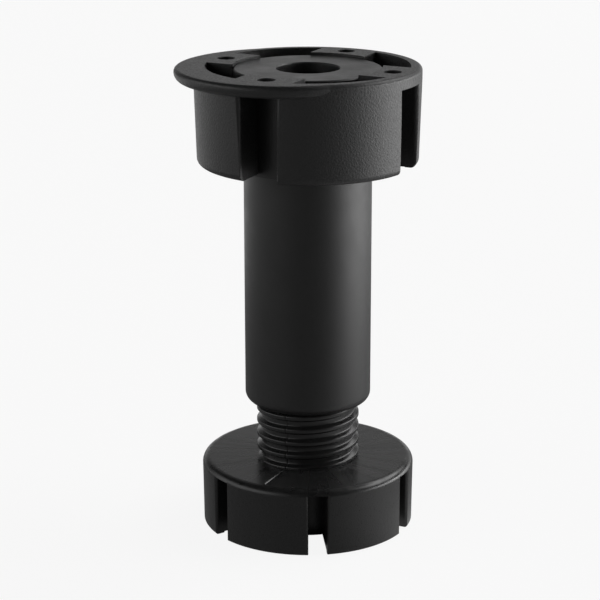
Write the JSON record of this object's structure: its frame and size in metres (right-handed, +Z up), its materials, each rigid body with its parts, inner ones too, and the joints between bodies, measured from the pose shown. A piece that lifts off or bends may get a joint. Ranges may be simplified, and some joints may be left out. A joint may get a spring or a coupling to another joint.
{
  "type": "adjustable furniture leg",
  "caption": "Black plastic cabinet leg: a screw-on mounting socket, a leg tube that turns in it, and a slotted round foot whose threaded stud sets the height.",
  "frame": {"origin": "on the leg's axis at floor level, under the middle of the foot", "axes": "+Z up along the leg's axis towards the cabinet; -X towards the socket's lip; the screw holes lie on the diagonals between X and Y"},
  "size_m": [0.0612, 0.0562, 0.1185],
  "materials": {
    "socket_plastic": "fine grain, matte",
    "tube_plastic": "smooth satin",
    "foot_plastic": "smooth satin with faint flow marks"
  },
  "bodies": {
    "foot": {"screw_foot": "foot_plastic"},
    "socket": {"mounting_socket": "socket_plastic"},
    "tube": {"leg_tube": "tube_plastic"}
  },
  "joints": [
    {"name": "height", "type": "slide", "parent": "foot", "child": "socket", "axis": [0, 0, 1], "range_m": [-0.015, 0.01]},
    {"name": "tube_turn", "type": "hinge", "parent": "socket", "child": "tube", "pos_m": [0, 0, 0.1], "axis": [0, 0, 1], "range_deg": [-1585, 1055]}
  ],
  "couplings": [
    {"joint": "height", "follows": "tube_turn", "m_per_rad": 0.00054113}
  ]
}
